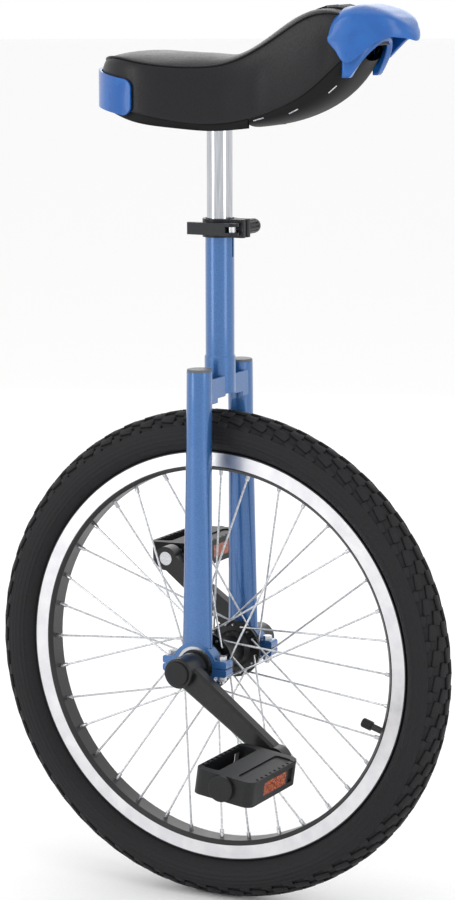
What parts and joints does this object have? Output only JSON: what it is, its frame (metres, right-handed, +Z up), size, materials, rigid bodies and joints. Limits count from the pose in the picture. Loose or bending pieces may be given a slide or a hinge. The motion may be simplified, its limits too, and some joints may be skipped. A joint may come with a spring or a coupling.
{
  "type": "unicycle",
  "caption": "One-wheeled pedal cycle with a steel fork frame, spoked wheel, cranks, box pedals and a curved padded saddle on a quick-release post.",
  "frame": {"origin": "the point where the tyre meets the ground, straight below the axle", "axes": "+X forward, +Y to the rider's left along the axle, +Z up"},
  "size_m": [0.4998, 0.399, 0.8989],
  "materials": {
    "blue_paint": "gloss metallic paint",
    "cap_steel": "dark grey cap",
    "zinc_steel": "bright zinc plate",
    "bearing_steel": "ground steel",
    "black_aluminium": "black anodised",
    "black_enamel": "satin black enamel",
    "tyre_rubber": "moulded tread rubber",
    "tube_rubber": "butyl rubber",
    "rim_aluminium": "black hoop with machined side tracks",
    "tape_nylon": "woven nylon",
    "spoke_steel": "bright galvanised",
    "black_plastic": "moulded",
    "amber_reflector": "moulded reflector",
    "post_chrome": "polished chrome plate",
    "foam": "polyurethane foam",
    "vinyl": "vinyl with a fine grain",
    "blue_plastic": "glossy moulded plastic"
  },
  "bodies": {
    "frame": {"seat_tube": "blue_paint", "fork_leg_right": "blue_paint", "fork_leg_left": "blue_paint", "leg_caps": "cap_steel", "crown_plates": "blue_paint", "bearing_housing_right": "blue_paint", "bearing_housing_left": "blue_paint", "bearing_cap_right": "blue_paint", "bearing_cap_left": "blue_paint", "housing_bolts": "zinc_steel", "housing_nuts": "zinc_steel", "bearing_outer_races": "bearing_steel", "bearing_shields": "black_aluminium", "clamp_collar": "black_aluminium", "clamp_cup": "black_aluminium", "clamp_skewer": "bearing_steel", "clamp_pin": "bearing_steel"},
    "wheel": {"bearing_inner_races": "bearing_steel", "bearing_balls": "bearing_steel", "hub_shell": "black_enamel", "axle": "bearing_steel", "axle_spacers": "black_aluminium", "tyre": "tyre_rubber", "inner_tube": "tube_rubber", "rim": "rim_aluminium", "rim_tape": "tape_nylon", "spokes": "spoke_steel", "nipples": "spoke_steel", "valve_stem": "tube_rubber", "valve_cap": "black_plastic", "crank_right": "black_enamel", "crank_left": "black_enamel", "pedal_spindle_right": "bearing_steel", "pedal_spindle_left": "bearing_steel", "axle_nuts": "zinc_steel", "crank_dust_caps": "black_plastic"},
    "right_pedal": {"pedal_body_right": "black_plastic", "pedal_end_cap_right": "black_plastic", "pedal_reflectors_right": "amber_reflector", "pedal_balls_right": "bearing_steel"},
    "left_pedal": {"pedal_body_left": "black_plastic", "pedal_end_cap_left": "black_plastic", "pedal_reflectors_left": "amber_reflector", "pedal_balls_left": "bearing_steel"},
    "clamp_lever": {"clamp_lever": "black_aluminium"},
    "clamp_nut": {"clamp_nut": "black_aluminium"},
    "seatpost": {"seatpost": "post_chrome"},
    "saddle": {"saddle_bracket": "black_enamel", "saddle_base": "black_plastic", "saddle_foam": "foam", "saddle_cover": "vinyl", "saddle_bolts": "zinc_steel", "saddle_nuts": "zinc_steel", "rear_bumper": "blue_plastic", "saddle_handle": "blue_plastic", "cover_staples": "zinc_steel", "bumper_screws": "zinc_steel"}
  },
  "joints": [
    {"name": "wheel_spin", "type": "hinge", "parent": "frame", "child": "wheel", "pos_m": [0, 0, 0.25], "axis": [0, 1, 0], "continuous": true},
    {"name": "right_pedal_spin", "type": "hinge", "parent": "wheel", "child": "right_pedal", "pos_m": [0.10222, -0.145, 0.17464], "axis": [0, 1, 0], "continuous": true},
    {"name": "left_pedal_spin", "type": "hinge", "parent": "wheel", "child": "left_pedal", "pos_m": [-0.10222, 0.145, 0.32536], "axis": [0, 1, 0], "continuous": true},
    {"name": "clamp_lever_turn", "type": "hinge", "parent": "frame", "child": "clamp_lever", "pos_m": [0.0222, -0.0175, 0.6805], "axis": [0, 0, 1], "range_deg": [0, 180]},
    {"name": "clamp_nut_turn", "type": "hinge", "parent": "frame", "child": "clamp_nut", "pos_m": [0.0222, 0.02, 0.6805], "axis": [0, 1, 0], "continuous": true},
    {"name": "saddle_height", "type": "slide", "parent": "frame", "child": "seatpost", "axis": [0, 0, 1], "range_m": [-0.075, 0.025]},
    {"name": "saddle_swivel", "type": "hinge", "parent": "seatpost", "child": "saddle", "pos_m": [0, 0, 0.79], "axis": [0, 0, 1], "continuous": true}
  ]
}
